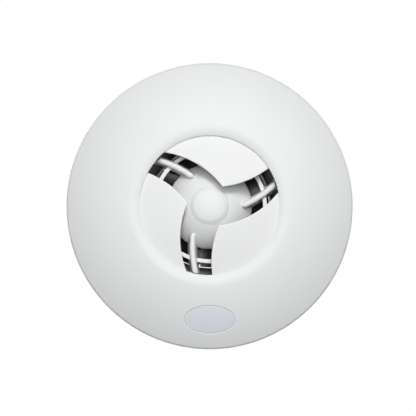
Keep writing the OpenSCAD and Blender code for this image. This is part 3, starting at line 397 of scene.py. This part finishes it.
def cover_profile():
    """The cover's closed half section, as (r, z), from the opening's lip over the dome."""
    lip_top = CREST_CENTRE_Z + math.sqrt(CREST_ROUND_R**2 - (CREST_R - OPENING_R) ** 2)
    lip_low = SHELL_Z + math.sqrt((SHELL_R + LIP_GAP) ** 2 - OPENING_R**2)
    lip_slope = math.degrees(math.asin((CREST_R - OPENING_R) / CREST_ROUND_R))
    crest = arc(CREST_R, CREST_CENTRE_Z, CREST_ROUND_R, 90 + lip_slope - LIP_ROUND_A, 90 - CREST_SLOPE, 22)
    dome = arc(DOME_CENTRE_R, DOME_CENTRE_Z, DOME_ARC_R, 90 - CREST_SLOPE, 90 - EDGE_SLOPE, 44)
    edge = arc(EDGE_CENTRE_R, EDGE_CENTRE_Z, EDGE_ROUND_R, 90 - EDGE_SLOPE, 0, 12)
    inner_r = COVER_R - COVER_WALL
    foot, foot_in = (COVER_R, COVER_RIM_Z), (inner_r, COVER_RIM_Z)
    rim = rounded_corner((COVER_R, CREST_Z), foot, (0, COVER_RIM_Z), CORNER_R)
    rim_in = rounded_corner((2 * COVER_R, COVER_RIM_Z), foot_in, (inner_r, CREST_Z), CORNER_R)
    dome_in_r = DOME_ARC_R - COVER_WALL
    dome_in_a = math.degrees(math.asin((inner_r - DOME_CENTRE_R) / dome_in_r))
    dome_in = arc(DOME_CENTRE_R, DOME_CENTRE_Z, dome_in_r, 90 - dome_in_a, 90 - CREST_SLOPE, 30)
    crest_in = [
        p
        for p in arc(CREST_R, CREST_CENTRE_Z, CREST_ROUND_R - COVER_WALL, 90 - CREST_SLOPE, 130, 16)
        if p[1] > SHELL_Z + math.sqrt((SHELL_R + LIP_GAP) ** 2 - p[0] ** 2)
    ]
    lip = rounded_corner((OPENING_R, lip_low), (OPENING_R, lip_top), crest[1], CORNER_R)
    under = [
        (OPENING_R + LIP_SLANT[0], lip_low - LIP_SLANT[1]),
        (OPENING_R + LIP_CHAMFER, lip_low),
        (OPENING_R, lip_low + LIP_CHAMFER),
    ]
    return lip + crest[1:] + dome[1:] + edge[1:] + rim + rim_in + dome_in + crest_in[1:] + under


def dome_point(x, y, depth):
    """Place on the dome's face over (x, y), sunk by depth along the face's normal."""
    r = math.hypot(x, y)
    slope = math.asin((r - DOME_CENTRE_R) / DOME_ARC_R)
    r_now = DOME_CENTRE_R + (DOME_ARC_R - depth) * math.sin(slope)
    z = DOME_CENTRE_Z + (DOME_ARC_R - depth) * math.cos(slope)
    return row(x * r_now / r, y * r_now / r, z)


def oval(offset, share=1.0):
    """Points of the badge recess's outline, moved out by offset and then drawn in to a share."""
    points = []
    for i in range(BADGE_STEPS):
        a = 2 * math.pi * i / BADGE_STEPS
        nx, ny = math.cos(a) / BADGE_A, math.sin(a) / BADGE_B
        length = math.hypot(nx, ny)
        x = BADGE_A * math.cos(a) + offset * nx / length
        y = BADGE_B * math.sin(a) + offset * ny / length
        points.append((x * share, y * share - BADGE_DROP))
    return points


def on_dome(r, z):
    """Whether a point of the profile lies on the outer face of the dome, clear of its edge."""
    on_arc = abs(math.hypot(r - DOME_CENTRE_R, z - DOME_CENTRE_Z) - DOME_ARC_R) < 1e-6
    return on_arc and z > EDGE_CENTRE_Z + WINDOW_MARGIN


def badge_window(profile):
    """First and last ring, and columns to each side, of the window in the cover round the badge."""
    half = BADGE_B + WINDOW_MARGIN
    rows = [i for i, (r, z) in enumerate(profile) if on_dome(r, z) and abs(r - BADGE_DROP) < half]
    reach_a = math.degrees(math.asin((BADGE_A + WINDOW_MARGIN) / (BADGE_DROP - BADGE_B)))
    return rows[0], rows[-1], math.ceil(reach_a * COVER_STEPS / 360)


def turned(r, column):
    """Point at that column of the cover, where column 0 is straight below the middle."""
    return polar(r, 360 * column / COVER_STEPS - 90)


def fill_window(bm, profile, rings, low, high, reach):
    """Fills the window with triangles through the outlines of the badge's recess."""
    loop = [(low, j) for j in range(-reach, reach)] + [(i, reach) for i in range(low, high)]
    loop += [(high, j) for j in range(reach, -reach, -1)] + [(i, -reach) for i in range(high, low, -1)]
    known, points, depths = [], [], []

    def note(place, depth, vert=None):
        known.append(vert)
        points.append(Vector(place))
        depths.append(depth)

    for i, j in loop:
        note(turned(profile[i][0], j), 0, rings[i][j % COVER_STEPS])
    border = [(n, (n + 1) % len(loop)) for n in range(len(loop))]
    margin = RECESS_RINGS[0][0] + 0.5
    for i in range(low + 1, high):
        for j in range(-reach + 1, reach):
            x, y = turned(profile[i][0], j)
            if math.hypot(x / (BADGE_A + margin), (y + BADGE_DROP) / (BADGE_B + margin)) > 1:
                note((x, y), 0)
    for offset, share in RECESS_RINGS:
        for place in oval(offset):
            note(place, share * BADGE_DEPTH)
    for share in (0.8, 0.55, 0.3):
        for place in oval(-RECESS_INSET, share)[::6]:
            note(place, BADGE_DEPTH)
    note((0, -BADGE_DROP), BADGE_DEPTH)
    corners, _, faces, origins, _, _ = delaunay_2d_cdt(points, border, [], 1, 1e-7)
    verts = []
    for corner, sources in zip(corners, origins):
        source = sources[0]
        verts.append(known[source] or bm.verts.new(dome_point(*corner, depths[source])))
    for face in faces:
        bm.faces.new([verts[n] for n in face])
    # A grid point that an outline took over is left without a face
    bmesh.ops.delete(bm, geom=[v for v in bm.verts if not v.link_faces], context="VERTS")


def make_cover():
    """The domed cover with its rolled lip, thin wall and oval badge recess."""
    profile = cover_profile()
    low, high, reach = badge_window(profile)
    bm = bmesh.new()
    rings = []
    for r, z in profile:
        rings.append([bm.verts.new(row(*turned(r, j), z)) for j in range(COVER_STEPS)])
    for i in range(len(profile)):
        n = (i + 1) % len(profile)
        for j in range(COVER_STEPS):
            k = (j + 1) % COVER_STEPS
            beside = j if j < COVER_STEPS / 2 else j - COVER_STEPS
            if low <= i < high and -reach <= beside < reach:
                continue
            bm.faces.new((rings[i][j], rings[i][k], rings[n][k], rings[n][j]))
    fill_window(bm, profile, rings, low, high, reach)
    cover = piece("cover_shell", bm, "fan_body", "cover_white")
    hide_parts("cover")


def make_badge():
    """A thin plate that lies in the recess, bare, with a rounded edge."""
    top = BADGE_DEPTH - BADGE_PLATE_T
    edge = [(0.1, BADGE_DEPTH), (0, BADGE_DEPTH - 0.08), (0, top + 0.2), (0.05, top + 0.08), (0.2, top)]
    face = [(0.9, top, share) for share in (1, 0.8, 0.6, 0.4, 0.2)]
    bm = bmesh.new()
    loops = []
    for inset, depth, *share in edge + face:
        loops.append([bm.verts.new(dome_point(x, y, depth)) for x, y in oval(-BADGE_FIT - inset, *share)])
    for a, b in zip(loops, loops[1:]):
        for i in range(BADGE_STEPS):
            k = (i + 1) % BADGE_STEPS
            bm.faces.new((a[i], a[k], b[k], b[i]))
    hub = bm.verts.new(dome_point(0, -BADGE_DROP, top))
    foot = bm.verts.new(dome_point(0, -BADGE_DROP, BADGE_DEPTH))
    for i in range(BADGE_STEPS):
        k = (i + 1) % BADGE_STEPS
        bm.faces.new((loops[-1][i], loops[-1][k], hub))
        bm.faces.new((loops[0][k], loops[0][i], foot))
    plate = piece("badge_blank", bm, "fan_body", "badge_grey")
    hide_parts("badge_plate")


# ---- petals ----

PIVOT_AXIS = Vector((*polar(math.sin(PIVOT_TILT), FIRST_PIVOT_A), math.cos(PIVOT_TILT)))


def from_centre(p, level):
    """Point over p = (x, y) at that distance from the centre of the petals' shell."""
    return Vector((p[0], p[1], math.sqrt(level**2 - p[0] ** 2 - p[1] ** 2)))


def blade_distance(p):
    """How far p lies outside the blade of the closed top petal, and below 0 inside it."""
    before = (p - Vector(polar(SEAM_R, SEAM_A - THIRD))).length - (SEAM_R - SEAM_GAP / 2)
    behind = (SEAM_R + SEAM_GAP / 2) - (p - Vector(polar(SEAM_R, SEAM_A))).length
    neck = (p - Vector(polar(PIVOT_R, FIRST_PIVOT_A))).length - NECK_R
    rim = min(p.length - OPENING_R - PETAL_OVERLAP, neck)
    tail = SHELL_R * (from_centre(p, SHELL_R).angle(PIVOT_AXIS) - math.radians(TAIL_A))
    return max(before, behind, rim, tail)


def ear_distance(p):
    """The same for the lug round the pivot and the ear out to the drive pin, on the x axis."""
    along = min(max(p.x, 0), DRIVE_ARM)
    return min(p.length - LUG_R, (p - Vector((along, 0))).length - EAR_R)


def outline(distance, middle, inset, steps, reach):
    """Points where distance is -inset, one in each direction from the middle, found by halving."""
    points = []
    for i in range(steps):
        step = Vector(polar(1, 360 * i / steps))
        near, far = 0.0, reach
        for _ in range(HALVINGS):
            half = (near + far) / 2
            if distance(middle + half * step) < -inset:
                near = half
            else:
                far = half
        points.append(middle + near * step)
    return points


# Directions round the petals' rounded edge, from the face to the side
EDGE_TURNS = [math.radians(a) for a in range(0, 91, 15)]


def shell_plate(distance, middle, steps, reach):
    """Rings of points from the shell's centre, over the front, edge and back of a plate that
    lies in the shell and has a rounded edge."""
    middle = Vector(middle)
    rounds = [(PETAL_EDGE_R * (1 - math.sin(a)), PETAL_EDGE_R * (1 - math.cos(a))) for a in EDGE_TURNS]
    edges = [(outline(distance, middle, inset, steps, reach), drop) for inset, drop in rounds]
    field = [[middle + (p - middle) * share for p in edges[0][0]] for share in FIELD_SHARES]
    front = [[from_centre(p, SHELL_R) for p in ring] for ring in field]
    front += [[from_centre(p, SHELL_R - drop) for p in ring] for ring, drop in edges]
    back = [[from_centre(p, INNER_R + drop) for p in ring] for ring, drop in reversed(edges)]
    back += [[from_centre(p, INNER_R) for p in ring] for ring in reversed(field)]
    return front + back


def skin(bm, rings, place, edges=()):
    """A closed skin through rings of as many points each, with a flat end on the first and the
    last. The rings listed as edges are marked for the material's painted highlight."""
    # This mark is where the material paints a highlight
    painted_highlight_layer = bm.verts.layers.float.get("edge") or bm.verts.layers.float.new("edge")
    loops = [[bm.verts.new(place(p)) for p in ring] for ring in rings]
    for n in edges:
        for vert in loops[n]:
            vert[painted_highlight_layer] = 1.0
    for a, b in zip(loops, loops[1:]):
        for i in range(len(a)):
            k = (i + 1) % len(a)
            bm.faces.new((a[i], a[k], b[k], b[i]))
    bm.faces.new(loops[0])
    bm.faces.new(loops[-1])


def turned_profile(profile, steps=48):
    """Rings round the z axis through (radius, level) points."""
    return [[Vector((*polar(r, 360 * i / steps), level)) for i in range(steps)] for r, level in profile]


# Rings of the petal's rounded edge, which get the painted highlight
EDGE_RINGS = range(len(FIELD_SHARES) + 1, len(FIELD_SHARES) + len(EDGE_TURNS))
BLADE = shell_plate(blade_distance, BLADE_MIDDLE, PETAL_STEPS, BLADE_REACH)
EAR = shell_plate(ear_distance, (DRIVE_ARM / 3, 0), EAR_STEPS, 2 * DRIVE_ARM)
BORE_ROOF = INNER_R - BORE_ROOF_T
BOSS_TOP = INNER_R + PETAL_T / 4
BOSS = turned_profile([
    (AXIS_R, BORE_ROOF), (BORE_R, BORE_ROOF), (BORE_R, BOSS_LEVEL + 0.2), (BORE_R + 0.2, BOSS_LEVEL),
    (BOSS_R - 0.3, BOSS_LEVEL), (BOSS_R, BOSS_LEVEL + 0.3), (BOSS_R, BOSS_TOP), (AXIS_R, BOSS_TOP),
])
NECK_TOP = INNER_R + 0.3
DRIVE_BALL = [(x, BALL_LEVEL + y) for x, y in arc(0, 0, DRIVE_BALL_R, -88, 32, 20)]
DRIVE_NECK = [(DRIVE_NECK_R, BALL_LEVEL + DRIVE_BALL_R), (DRIVE_NECK_R, NECK_TOP), (AXIS_R, NECK_TOP)]
DRIVE_PIN = turned_profile(DRIVE_BALL + DRIVE_NECK, 32)


def make_petal(name, turn):
    """A petal of the iris: its blade, drive ear, pivot boss and drive pin with a ball."""
    swing = Matrix.Rotation(math.radians(REST_A), 3, PIVOT_AXIS)
    to_rest = Matrix.Rotation(math.radians(turn), 3, "Z") @ swing
    to_pivot = Matrix.Rotation(math.radians(FIRST_PIVOT_A), 3, "Z") @ Matrix.Rotation(PIVOT_TILT, 3, "Y")
    stand = to_rest @ to_pivot
    on_arm = stand @ Matrix.Rotation(math.radians(CLOSED_ARM_A), 3, "Z")

    def placed(matrix, shift=(0, 0, 0)):
        return lambda p: row(*(Vector((0, 0, SHELL_Z)) + matrix @ (p + Vector(shift))))

    bm = bmesh.new()
    skin(bm, BLADE, placed(to_rest), EDGE_RINGS)
    skin(bm, EAR, placed(on_arm))
    skin(bm, BOSS, placed(stand))
    skin(bm, DRIVE_PIN, placed(on_arm, (DRIVE_ARM, 0, 0)))
    petal = piece(name + "_blade", bm, name, "petal_white")
    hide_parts(name)


def make_cap():
    """A thin skin over the hub's cap, which runs softly into the dome."""
    start, end = (math.asin(r / HUB_DOME_R) for r in CAP_BLEND)
    profile = [(start * share, CAP_RISE + CAP_SKIN) for share in (0.01, 0.3, 0.65)]
    for i in range(CAP_BLEND_STEPS + 1):
        share = i / CAP_BLEND_STEPS
        fall = share * share * (3 - 2 * share)
        profile.append((start + (end - start) * share, CAP_RISE * (1 - fall) + CAP_SKIN * (1 - share)))
    profile += [(end, -CAP_RISE), (start, -CAP_RISE), (start * 0.01, -CAP_RISE)]
    section = []
    for a, rise in profile:
        section.append(((HUB_DOME_R + rise) * math.sin(a), (HUB_DOME_R + rise) * math.cos(a)))
    bm = bmesh.new()
    skin(bm, turned_profile(section, CAP_STEPS), lambda p: row(p.x, p.y, p.z + HUB_TOP_Z - HUB_DOME_R))
    piece("hub_cap_skin", bm, "fan_body", "guard_white")


make_cover()
make_badge()
make_cap()
for number, side in enumerate(("top", "left", "right")):
    make_petal("petal_" + side, THIRD * number)


# ---- camera, lights and surroundings ----


def make_lamp(name, place, size, power, spread):
    light = bpy.data.lights.new(name, "AREA")
    light.shape = "SQUARE"
    light.size = size
    light.energy = power
    light.spread = math.radians(spread)
    lamp = bpy.data.objects.new(name, light)
    lamp.location = place
    lamp.rotation_euler = (-Vector(place)).to_track_quat("-Z", "Y").to_euler()
    bpy.context.scene.collection.objects.link(lamp)


def make_camera():
    """A long lens from a little below the fan's middle."""
    aim = row(*VIEW_MIDDLE, 0)
    tilt = math.radians(CAMERA_ELEVATION)
    data = bpy.data.cameras.new("camera")
    data.sensor_width = SENSOR_MM
    data.lens = SENSOR_MM * CAMERA_DISTANCE / VIEW_WIDTH
    camera = bpy.data.objects.new("camera", data)
    camera.location = aim + row(0, CAMERA_DISTANCE * math.sin(tilt), CAMERA_DISTANCE * math.cos(tilt))
    camera.rotation_euler = (aim - camera.location).to_track_quat("-Z", "Y").to_euler()
    bpy.context.scene.collection.objects.link(camera)
    bpy.context.scene.camera = camera


def background_rays(nodes, links):
    """1 for rays that show the background: from the camera, and off or through a piece."""
    path = nodes.new("ShaderNodeLightPath")
    shown = path.outputs["Is Camera Ray"]
    for kind in ("Is Glossy Ray", "Is Transmission Ray"):
        either = nodes.new("ShaderNodeMath")
        either.operation = "MAXIMUM"
        links.new(shown, either.inputs[0])
        links.new(path.outputs[kind], either.inputs[1])
        shown = either.outputs[0]
    return shown


def make_world():
    """A faint cool light all round, and plain white where the background shows."""
    world = bpy.data.worlds.new("studio")
    bpy.context.scene.world = world
    world.use_nodes = True
    nodes, links = world.node_tree.nodes, world.node_tree.links
    nodes.clear()
    ambient = nodes.new("ShaderNodeBackground")
    ambient.inputs["Color"].default_value = AMBIENT_COLOUR
    ambient.inputs["Strength"].default_value = AMBIENT
    white = nodes.new("ShaderNodeBackground")
    white.inputs["Color"].default_value = PURE_WHITE
    white.inputs["Strength"].default_value = 1.0
    mix = nodes.new("ShaderNodeMixShader")
    links.new(background_rays(nodes, links), mix.inputs["Fac"])
    links.new(ambient.outputs[0], mix.inputs[1])
    links.new(white.outputs[0], mix.inputs[2])
    out = nodes.new("ShaderNodeOutputWorld")
    links.new(mix.outputs[0], out.inputs["Surface"])


def make_floor():
    """A plain pale floor far below, which glows only where the background shows."""
    bm = bmesh.new()
    bmesh.ops.create_grid(bm, x_segments=1, y_segments=1, size=FLOOR_SIZE)
    mesh = bpy.data.meshes.new("floor")
    bm.to_mesh(mesh)
    bm.free()
    floor = bpy.data.objects.new("floor", mesh)
    floor.location = (0, 0, FLOOR_Z)
    bpy.context.scene.collection.objects.link(floor)
    g = Graph("floor_white")
    g.join(g.mix(g.noise(4), *FLOOR_GREYS), g.shader.inputs["Base Color"])
    g.shader.inputs["Roughness"].default_value = 0.9
    g.shader.inputs["Emission Color"].default_value = PURE_WHITE
    pale = g.add("ShaderNodeMath", operation="MULTIPLY")
    g.join(background_rays(g.nodes, g.links), pale.inputs[0])
    pale.inputs[1].default_value = FLOOR_PALE
    g.join(pale.outputs[0], g.shader.inputs["Emission Strength"])
    mesh.materials.append(g.material)


make_camera()
make_world()
make_floor()
for lamp in LAMPS:
    make_lamp(**lamp)

bpy.context.scene.view_settings.view_transform = "Standard"
